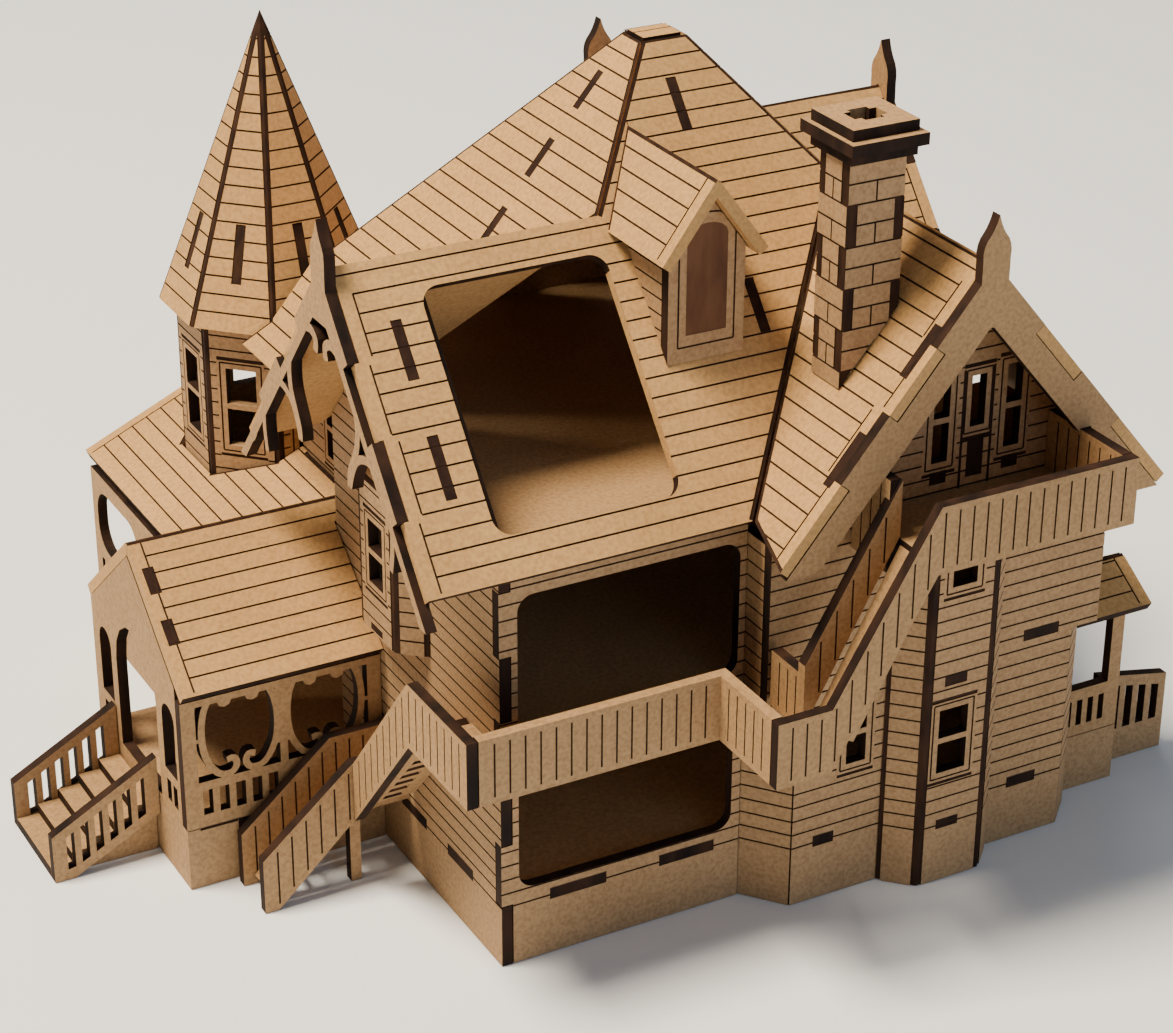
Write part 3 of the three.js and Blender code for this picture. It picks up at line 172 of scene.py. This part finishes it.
# The light and the dark fleck tone of each board. The three are one fibreboard: the roof board is a lighter
# copy, painted light where the top light falls on the roof, and the wall and trim boards are the darker copy,
# in painted shade.
BOARD = {
    "wall_board": board_material("wall_board", (0.44, 0.272, 0.135), (0.31, 0.182, 0.086)),
    # roof_board: the same fibreboard made lighter, as painted light from above
    "roof_board": board_material("roof_board", (0.59, 0.342, 0.132), (0.44, 0.245, 0.090)),
    "trim_board": board_material("trim_board", (0.44, 0.268, 0.126), (0.31, 0.180, 0.080)),
}
EDGE = burnt_material("burnt_edge", (0.036, 0.016, 0.009), (0.009, 0.005, 0.004), 160)
GROOVE = burnt_material("engraved_line", (0.045, 0.020, 0.010), (0.018, 0.008, 0.005), 400)
SLOT_FILL = burnt_material("tab_end", (0.034, 0.015, 0.009), (0.016, 0.007, 0.005), 300)
# The dormer's recessed panel: the burnt material in a mid-dark brown, as painted shade that falls in the
# recess
RECESS_SHADE_FILL = burnt_material("painted_shade_panel", (0.150, 0.070, 0.036), (0.095, 0.042, 0.022), 220)

SLOTS = {s["node"]: s["material_slot"] for s in frame["record"]["subparts"]}


# ---- sheets: flat regions of a CAD mesh and the grooves cut into them ----


class Face:
    """One flat region of a node: its in-plane axes, and its outline and holes in those axes."""

    def __init__(self, faces):
        self.normal = faces[0].normal.copy()
        across = UP.cross(self.normal)
        self.u = across.normalized() if across.length > 1e-4 else Vector((1, 0, 0))
        self.v = self.normal.cross(self.u).normalized()
        self.origin = faces[0].verts[0].co.copy()
        self.area = sum(f.calc_area() for f in faces)
        self.loops = outline_loops(faces, self)
        self.loops.sort(key=loop_size, reverse=True)
        points = self.loops[0]
        self.low = (min(p[0] for p in points), min(p[1] for p in points))
        self.high = (max(p[0] for p in points), max(p[1] for p in points))

    def flat(self, point):
        d = point - self.origin
        return (d.dot(self.u), d.dot(self.v))

    def solid(self, u, v, lift):
        return self.origin + self.u * u + self.v * v + self.normal * lift

    def width(self):
        return min(self.high[0] - self.low[0], self.high[1] - self.low[1])

    def centre(self):
        return self.solid((self.low[0] + self.high[0]) / 2, (self.low[1] + self.high[1]) / 2, 0)


def outline_loops(faces, face):
    """The closed outlines of a flat region, as lists of points in its own axes."""
    inside = set(faces)
    follow = {}
    for f in faces:
        for loop in f.loops:
            if not any(other in inside for other in loop.edge.link_faces if other is not f):
                follow.setdefault(loop.vert, []).append(loop.link_loop_next.vert)
    loops = []
    while follow:
        start = next(iter(follow))
        ring, at = [], start
        while at in follow:
            ring.append(face.flat(at.co))
            targets = follow[at]
            step = targets.pop()
            if not targets:
                del follow[at]
            at = step
        loops.append(ring)
    return loops


def loop_size(ring):
    us = [p[0] for p in ring]
    vs = [p[1] for p in ring]
    return (max(us) - min(us)) * (max(vs) - min(vs))


def flat_regions(mesh):
    """Groups the faces of a bmesh into connected flat regions."""
    left = set(mesh.faces)
    regions = []
    while left:
        seed = left.pop()
        group, queue = [seed], [seed]
        while queue:
            f = queue.pop()
            for edge in f.edges:
                for other in edge.link_faces:
                    if other in left and other.normal.dot(seed.normal) > SAME_PLANE:
                        left.remove(other)
                        group.append(other)
                        queue.append(other)
        regions.append(group)
    return regions


def strip(a, b, width=LINE):
    """The four corners of an engraved line from a to b."""
    d = Vector((b[0] - a[0], b[1] - a[1]))
    if d.length < 1e-6:
        return None
    d.normalize()
    s = Vector((-d.y, d.x)) * width / 2
    return [
        (a[0] + s.x, a[1] + s.y),
        (b[0] + s.x, b[1] + s.y),
        (b[0] - s.x, b[1] - s.y),
        (a[0] - s.x, a[1] - s.y),
    ]


def edges(ring):
    """The sides of a closed outline, as pairs of points."""
    return zip(ring, ring[1:] + ring[:1])


def rectangle(u0, u1, v0, v1):
    return [(u0, v0), (u1, v0), (u1, v1), (u0, v1)]


def outline(u0, u1, v0, v1):
    """Four engraved lines around a rectangle."""
    return [strip(a, b) for a, b in edges(rectangle(u0, u1, v0, v1))]


def holes_of(face):
    """Boxes around the window holes of a face; panes of one window count as one box."""
    boxes = []
    for ring in face.loops[1:]:
        us = [p[0] for p in ring]
        vs = [p[1] for p in ring]
        boxes.append([min(us), max(us), min(vs), max(vs)])
    merged = []
    for box in sorted(boxes, key=lambda b: b[2]):
        for other in merged:
            if abs(other[0] - box[0]) < MM and abs(other[1] - box[1]) < MM and box[2] - other[3] < 3 * MM:
                other[3] = box[3]
                break
        else:
            merged.append(box)
    return merged


def is_window(box):
    """Whether a hole has the size of a window, and not that of a slot or of a large opening."""
    wide = WINDOW_WIDTHS[0] < box[1] - box[0] < WINDOW_WIDTHS[1]
    tall = WINDOW_HEIGHTS[0] < box[3] - box[2] < WINDOW_HEIGHTS[1]
    return wide and tall


def open_spans(u0, u1, v, masks):
    """The parts of a line at height v that no mask covers."""
    spans = [(u0, u1)]
    for m0, m1, n0, n1 in masks:
        if not n0 < v < n1:
            continue
        rest = []
        for a, b in spans:
            if m0 > a:
                rest.append((a, min(b, m0)))
            if m1 < b:
                rest.append((max(a, m1), b))
        spans = [(a, b) for a, b in rest if b - a > SHORTEST_LINE]
    return spans


def courses(face, first, pitch, masks=()):
    """Lines along the sheet, one for each course of boards."""
    lines = []
    v = first
    while v < face.high[1] - TOP_MARGIN:
        for a, b in open_spans(face.low[0], face.high[0], v, masks):
            lines.append(strip((a, v), (b, v)))
        v += pitch
    return lines


def window_trim(boxes):
    """An engraved architrave round each window, with a dark head and a dark sill."""
    overhang = 2.6 * MM
    head = (2.4 * MM, 3.5 * MM)
    sill = (3.5 * MM, 2.6 * MM)
    polygons = []
    for u0, u1, v0, v1 in boxes:
        polygons += outline(u0 - BORDER, u1 + BORDER, v0 - BORDER, v1 + BORDER)
        polygons.append(rectangle(u0 - overhang, u1 + overhang, v1 + head[0], v1 + head[1]))
        polygons.append(rectangle(u0 - overhang, u1 + overhang, v0 - sill[0], v0 - sill[1]))
    return polygons


def clapboards(face):
    """Siding from the plinth up, left out round the windows."""
    beside, above = 2.7 * MM, 3.6 * MM
    windows = [b for b in holes_of(face) if is_window(b)]
    masks = [(u0 - beside, u1 + beside, v0 - above, v1 + above) for u0, u1, v0, v1 in windows]
    first = face.flat(Vector((face.origin.x, face.origin.y, PLINTH)))[1]
    while first < face.low[1] + 0.8 * MM:
        first += CLAPBOARD
    return courses(face, first, CLAPBOARD, masks) + window_trim(windows)


def plain_clapboards(face):
    """Siding from the foot of the face up."""
    return courses(face, face.low[1] + CLAPBOARD, CLAPBOARD)


def is_steep(a, b):
    return abs(b[0] - a[0]) < STRAIGHT * abs(b[1] - a[1])


def dark_rims(face):
    """Burnt lines along hips, valleys and ridges, but not along eaves and verges."""
    polygons = []
    for a, b in edges(face.loops[0]):
        length = math.hypot(b[0] - a[0], b[1] - a[1])
        level = abs(b[1] - a[1]) < STRAIGHT * length
        at_ridge = a[1] >= face.high[1] - 2 * MM
        if length < 4 * MM or is_steep(a, b) or (level and not at_ridge):
            continue
        polygons.append(strip(a, b, RIM))
    return polygons


def verges(face):
    """The long upright edges of a roof slope, as (u, v0, v1, side). The side points into the slope."""
    shortest, tabs = 12 * MM, 5 * MM
    found = []
    for a, b in edges(face.loops[0]):
        low, high = sorted((a[1], b[1]))
        if is_steep(a, b) and high - low > shortest:
            if a[0] - face.low[0] < tabs:
                found.append((a[0], low, high, 1))
            elif face.high[0] - a[0] < tabs:
                found.append((a[0], low, high, -1))
    return found


def planks(face):
    """Roof planks between the verges, with a line along each verge."""
    masks, lines = [], []
    for u, low, high, side in verges(face):
        inner = u + side * VERGE_LINE
        outer = u - side * VERGE_LINE
        masks.append((min(outer, inner), max(outer, inner), low, high))
        lines.append(strip((inner, low + MM), (inner, high - MM)))
    return courses(face, face.low[1] + PLANK, PLANK, masks) + lines + dark_rims(face)


def tower_planks(face):
    """One slope of the tower's roof: planks, dark hips, and a slot in the middle of its lower half."""
    middle = (face.low[0] + face.high[0]) / 2
    half, foot, top = 1.5 * MM, face.low[1] + 13.5 * MM, face.low[1] + 30.2 * MM
    hips = [strip(a, b, RIM) for a, b in edges(face.loops[0]) if abs(a[1] - b[1]) > 5 * MM]
    slot = rectangle(middle - half, middle + half, foot, top)
    return courses(face, face.low[1] + PLANK, PLANK) + hips + [slot]


def corner_strips(face):
    """Burnt joints up both sides of a wall."""
    low, high = face.low, face.high
    return [
        rectangle(low[0] - MM, low[0] + CORNER_STRIP, low[1] - MM, high[1] + MM),
        rectangle(high[0] - CORNER_STRIP, high[0] + MM, low[1] - MM, high[1] + MM),
    ]


def jointed_clapboards(face):
    return clapboards(face) + corner_strips(face)


def crossings(ring, u):
    """Where a vertical line crosses an outline, from low to high."""
    found = []
    for a, b in edges(ring):
        if (a[0] - u) * (b[0] - u) < 0:
            found.append(a[1] + (b[1] - a[1]) * (u - a[0]) / (b[0] - a[0]))
    return sorted(found)


def tongues(face):
    """Upright tongue-and-groove boards inside a plain border."""
    polygons = []
    count = round((face.high[0] - face.low[0]) / TONGUE)
    for k in range(1, count):
        u = face.low[0] + (face.high[0] - face.low[0]) * k / count
        hits = crossings(face.loops[0], u)
        if len(hits) >= 2 and hits[-1] - hits[0] > 4 * BORDER:
            polygons.append(strip((u, hits[0] + BORDER), (u, hits[-1] - BORDER)))
    return polygons


def bricks(face):
    """Courses of one stretcher and of two halves, by turns, with dark joint fingers at both edges."""
    low, high = face.low, face.high
    middle = (low[0] + high[0]) / 2
    on_side = abs(face.normal.x) > FACING
    polygons = []
    top, k = high[1], 0
    while top > low[1] + MM:
        foot = max(top - BRICK, low[1])
        polygons.append(strip((low[0], foot), (high[0], foot)))
        if k % 2:
            polygons.append(strip((middle, foot), (middle, top)))
        if (k // 2) % 2 == (0 if on_side else 1):
            polygons.append(rectangle(low[0] - MM, low[0] + FINGER, foot, top))
            polygons.append(rectangle(high[0] - FINGER, high[0] + MM, foot, top))
        top, k = foot, k + 1
    return polygons


def arched(face, half, foot, top):
    """An upright panel with an arched head, in the middle of a face. Heights start at the face's foot."""
    steps = 8
    middle = (face.low[0] + face.high[0]) / 2
    low, high = face.low[1] + foot, face.low[1] + top
    head = []
    for k in range(steps + 1):
        turn = k * math.pi / steps
        head.append((middle + half * math.cos(turn), high + half * 0.6 * math.sin(turn)))
    return [(middle - half, low), (middle + half, low)] + head


def dormer_frame(face):
    """The engraved frame round the dormer's panel."""
    return [strip(a, b) for a, b in edges(arched(face, 8 * MM, 4 * MM, 34 * MM))]


# The arched panel that is filled dark as painted shade in the dormer's recess.
def dormer_panel(face):
    return [arched(face, 5.8 * MM, 7 * MM, 32.5 * MM)]


def layers(polygons):
    """Sorts polygons into groups whose boxes don't overlap, so that each group is one clean cutter."""
    groups = []
    for polygon in polygons:
        if polygon is None:
            continue
        us = [p[0] for p in polygon]
        vs = [p[1] for p in polygon]
        box = (min(us), max(us), min(vs), max(vs))
        for group in groups:
            if all(box[1] < b[0] or b[1] < box[0] or box[3] < b[2] or b[3] < box[2] for _, b in group):
                group.append((polygon, box))
                break
        else:
            groups.append([(polygon, box)])
    return [[polygon for polygon, _ in group] for group in groups]


def engrave(piece, face, polygons, material, depth):
    for group in layers(polygons):
        carve(piece, cutter(face, group, material, depth))


def cutter(face, polygons, material, depth):
    """One mesh of shallow prisms, one for each engraved polygon, that stand a little clear of the face."""
    clear = 0.3 * MM
    mesh = bmesh.new()
    for polygon in polygons:
        area = sum(a[0] * b[1] - b[0] * a[1] for a, b in edges(polygon))
        ring = polygon if area > 0 else polygon[::-1]
        low = [mesh.verts.new(face.solid(u, v, -depth)) for u, v in ring]
        high = [mesh.verts.new(face.solid(u, v, clear)) for u, v in ring]
        mesh.faces.new(low[::-1])
        mesh.faces.new(high)
        for i in range(len(ring)):
            j = (i + 1) % len(ring)
            mesh.faces.new((low[i], low[j], high[j], high[i]))
    data = bpy.data.meshes.new("cutter")
    mesh.to_mesh(data)
    mesh.free()
    data.materials.append(material)
    obj = bpy.data.objects.new("cutter", data)
    bpy.context.scene.collection.objects.link(obj)
    return obj


def carve(piece, tool):
    """Cuts a tool out of a piece. The cut keeps the tool's material, and the shading stays flat."""
    modifier = piece.modifiers.new("engrave", "BOOLEAN")
    modifier.operation = "DIFFERENCE"
    modifier.solver = "MANIFOLD"
    modifier.material_mode = "TRANSFER"
    modifier.object = tool
    depsgraph = bpy.context.evaluated_depsgraph_get()
    carved = bpy.data.meshes.new_from_object(piece.evaluated_get(depsgraph))
    piece.modifiers.remove(modifier)
    bpy.data.objects.remove(tool)
    if len(carved.polygons):
        if "custom_normal" in carved.attributes:
            carved.attributes.remove(carved.attributes["custom_normal"])
        carved.polygons.foreach_set("use_smooth", [False] * len(carved.polygons))
        piece.data = carved
    else:
        print("ENGRAVING FAILED", piece.name)


def keep_face(node):
    """The test that says whether a flat region of a node is an outer, patterned face."""
    if node.startswith("tower"):
        centre = sum(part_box("tower_walls"), Vector()) / 2
    elif node.startswith("dormer"):
        centre = sum(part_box("dormer_roof"), Vector()) / 2
    elif node.startswith("chimney"):
        centre = sum(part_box("chimney_shaft"), Vector()) / 2
    else:
        centre = MIDDLE
    return lambda face: face.normal.dot(face.centre() - centre) > 0


def sheet_piece(node, pattern=None, test=None, extra=None, filling=SLOT_FILL):
    """A copy of a CAD node with board faces, burnt edges, its engraved pattern and extra filled shapes."""
    source = frame["nodes"][node]
    mesh = bmesh.new()
    mesh.from_mesh(source.data)
    bmesh.ops.remove_doubles(mesh, verts=mesh.verts, dist=1e-6)
    mesh.normal_update()
    patterned = []
    for group in flat_regions(mesh):
        face = Face(group)
        board = face.width() > EDGE_LIMIT
        for f in group:
            f.material_index = 0 if board else 1
            f.smooth = False
        if board and pattern and face.area > SMALL_FACE and test(face):
            patterned.append(face)
    data = bpy.data.meshes.new(node + "_board")
    mesh.to_mesh(data)
    mesh.free()
    if "custom_normal" in data.attributes:
        data.attributes.remove(data.attributes["custom_normal"])
    data.materials.append(BOARD[SLOTS[node]])
    data.materials.append(EDGE)
    piece = bpy.data.objects.new(node + "_board", data)
    bpy.context.scene.collection.objects.link(piece)
    for face in patterned:
        engrave(piece, face, pattern(face), GROOVE, DEPTH)
        if extra:
            engrave(piece, face, extra(face), filling, TAB_DEPTH)
    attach(piece, "root")
    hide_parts(node)


def slots_on(marks):
    """Dark tab ends in a roof sheet, given by plan rectangles in the building's millimetres."""

    def fills(face):
        polygons = []
        for mark in marks:
            corners = []
            for x, y in rectangle(*mark):
                p = place(x, y, 0)
                rise = face.normal.xy.dot((p - face.origin).xy) / face.normal.z
                corners.append(face.flat(Vector((p.x, p.y, face.origin.z - rise))))
            polygons.append(corners)
        return polygons

    return fills


def marks_on_walls(marks):
    """Dark marks on upright faces: the axis a face looks along, then a range across it and one of heights."""

    def fills(face):
        polygons = []
        for axis, *mark in marks:
            if abs(face.normal["xy".index(axis)]) < FACING:
                continue
            corners = []
            for a, z in rectangle(*mark):
                p = place(a, 0, z) if axis == "y" else place(0, a, z)
                corners.append(face.flat(p))
            polygons.append(corners)
        return polygons

    return fills


# Ranges of x and of y, in millimetres from the building's corner.
ROOF_SLOTS = {
    "roof_south": [
        (-9.2, -6.2, 28.1, 38.1), (-9.2, -6.2, 8.5, 19), (83.8, 86.8, 59.9, 69.3), (86.6, 89.6, 23.9, 33.3),
    ],
    "roof_west": [(65.7, 73.2, 82.6, 85.4), (51.9, 59.4, 83.2, 86.2), (38.6, 45.6, 83.2, 86.2)],
    "roof_wing_west": [(78.8, 88.9, -21.9, -18.9), (99.5, 109.3, -21.9, -18.9)],
    "porch_roof_south": [(-55.6, -52.4, 90.5, 96.5), (-55.6, -52.4, 79, 84.7)],
}
# The axis that the wall looks along, a range across it and a range of heights.
WALL_MARKS = {
    "bay_walls": [("y", 119, 126, 16.4, 19.3), ("y", 119, 126, 60, 63)],
    "oriel_walls": [("x", 52, 59, 72, 74)],
    "wing_front_wall": [
        ("y", 124.7, 125.5, 112, 145), ("y", 133.6, 134.4, 112, 145), ("y", 127, 132, 115, 126),
        ("y", 116, 121, 115, 118.5), ("y", 138, 143, 115, 118.5),
    ],
    "porch_base": [("y", -53.6, -42.9, 17.4, 20.2), ("y", -42.8, -31.7, 15, 18)],
}
ROOFS = [
    "roof_south", "roof_block_north", "roof_west", "roof_north", "roof_east", "roof_wing_west",
    "roof_east_gable", "roof_north_gable", "dormer_roof", "porch_roof_south", "porch_roof_north",
    "lean_to_roof", "east_porch_roof",
]
SIDED = [
    "south_wall", "west_gable_wall", "rear_west_wall", "wing_corner_left", "wing_front_wall",
    "wing_corner_right", "wing_return_wall", "wing_east_wall", "east_gable_wall", "north_gable_wall",
]
JOINTED = ["bay_walls", "oriel_walls", "tower_walls"]
BOARDED = [
    "walkway_rail", "west_stair_rail", "upper_stair_rail", "upper_stair_inner_rail", "upper_side_rail",
    "lower_stair_rail", "lower_stair_back_rail",
]
CHEEKS = ["dormer_cheek_left", "dormer_cheek_right"]
SINGLE = ["tower_roof", "chimney_shaft", "porch_base", "dormer_front"]


def looks_up(face):
    return face.normal.z > 0.2


def stands_upright(face):
    return abs(face.normal.z) < 0.1


def no_lines(face):
    return []


for name in ROOFS:
    marks = ROOF_SLOTS.get(name)
    sheet_piece(name, planks, looks_up, slots_on(marks) if marks else None)
sheet_piece("tower_roof", tower_planks, looks_up)
for name in SIDED + JOINTED:
    marks = WALL_MARKS.get(name)
    pattern = jointed_clapboards if name in JOINTED else clapboards
    sheet_piece(name, pattern, keep_face(name), marks_on_walls(marks) if marks else None)
sheet_piece("porch_base", no_lines, keep_face("porch_base"), marks_on_walls(WALL_MARKS["porch_base"]))
# The dormer's arched panel gets a dark fill, painted shade in place of its recess.
sheet_piece("dormer_front", dormer_frame, keep_face("dormer_front"), dormer_panel, RECESS_SHADE_FILL)
for name in CHEEKS:
    sheet_piece(name, plain_clapboards, keep_face(name))
for name in BOARDED:
    sheet_piece(name, tongues, stands_upright)
sheet_piece("chimney_shaft", bricks, keep_face("chimney_shaft"))
done = set(ROOFS + SIDED + JOINTED + BOARDED + CHEEKS + SINGLE)
for name in sorted(frame["nodes"]):
    if name not in done:
        sheet_piece(name)


# ---- stage ----


FLOOR_COLOR = (0.88, 0.92, 0.97, 1)
FLOOR_SIZE = 12
FLOOR_DROP = 0.2 * MM
WORLD_COLOR = (0.9, 0.95, 1.0, 1)
WORLD_STRENGTH = 0.18
AIM = Vector((0, 0, 0.08))  # the point every light looks at
# Name, place, size, power and colour.
LIGHTS = [
    ("key", (-0.85, 0.2, 2.1), 0.7, 118, (1.0, 0.85, 0.64)),
    ("fill", (0.5, -2.3, 0.8), 1.6, 14, (0.54, 0.74, 1.0)),
    ("back", (0.9, 1.8, 1.7), 1.2, 8, (1.0, 0.95, 0.88)),
]
CAMERA_ANGLES = (-28.5, 26.81, 0.24)  # azimuth, elevation and roll, in degrees
CAMERA_PLACE = place(-278.4, -556.8, 443.5)
LENS = 90.64


def studio_floor():
    bpy.ops.mesh.primitive_plane_add(size=FLOOR_SIZE, location=(0, 0, -FLOOR_DROP))
    floor = bpy.context.object
    floor.name = "studio_floor"
    material, _, _, shader = new_material("studio_floor")
    shader.inputs["Base Color"].default_value = FLOOR_COLOR
    shader.inputs["Roughness"].default_value = 0.9
    floor.data.materials.append(material)


def lights():
    for name, location, size, power, color in LIGHTS:
        data = bpy.data.lights.new(name, "AREA")
        data.size = size
        data.energy = power
        data.color = color
        light = bpy.data.objects.new(name, data)
        light.location = location
        light.rotation_euler = (AIM - light.location).to_track_quat("-Z", "Y").to_euler()
        bpy.context.scene.collection.objects.link(light)
    world = bpy.context.scene.world or bpy.data.worlds.new("world")
    bpy.context.scene.world = world
    world.use_nodes = True
    background = world.node_tree.nodes["Background"]
    background.inputs["Color"].default_value = WORLD_COLOR
    background.inputs["Strength"].default_value = WORLD_STRENGTH


def camera():
    data = bpy.data.cameras.new("camera")
    data.sensor_width = 36
    data.lens = LENS
    data.clip_start = 0.01
    obj = bpy.data.objects.new("camera", data)
    azimuth, elevation, roll = (math.radians(a) for a in CAMERA_ANGLES)
    level = math.cos(elevation)
    back = Vector((math.sin(azimuth) * level, -math.cos(azimuth) * level, math.sin(elevation)))
    right = Vector((math.cos(azimuth), math.sin(azimuth), 0))
    up = back.cross(right)
    x = right * math.cos(roll) + up * math.sin(roll)
    y = up * math.cos(roll) - right * math.sin(roll)
    obj.matrix_world = Matrix((x, y, back)).transposed().to_4x4()
    obj.location = CAMERA_PLACE
    bpy.context.scene.collection.objects.link(obj)
    bpy.context.scene.camera = obj


camera()
studio_floor()
lights()
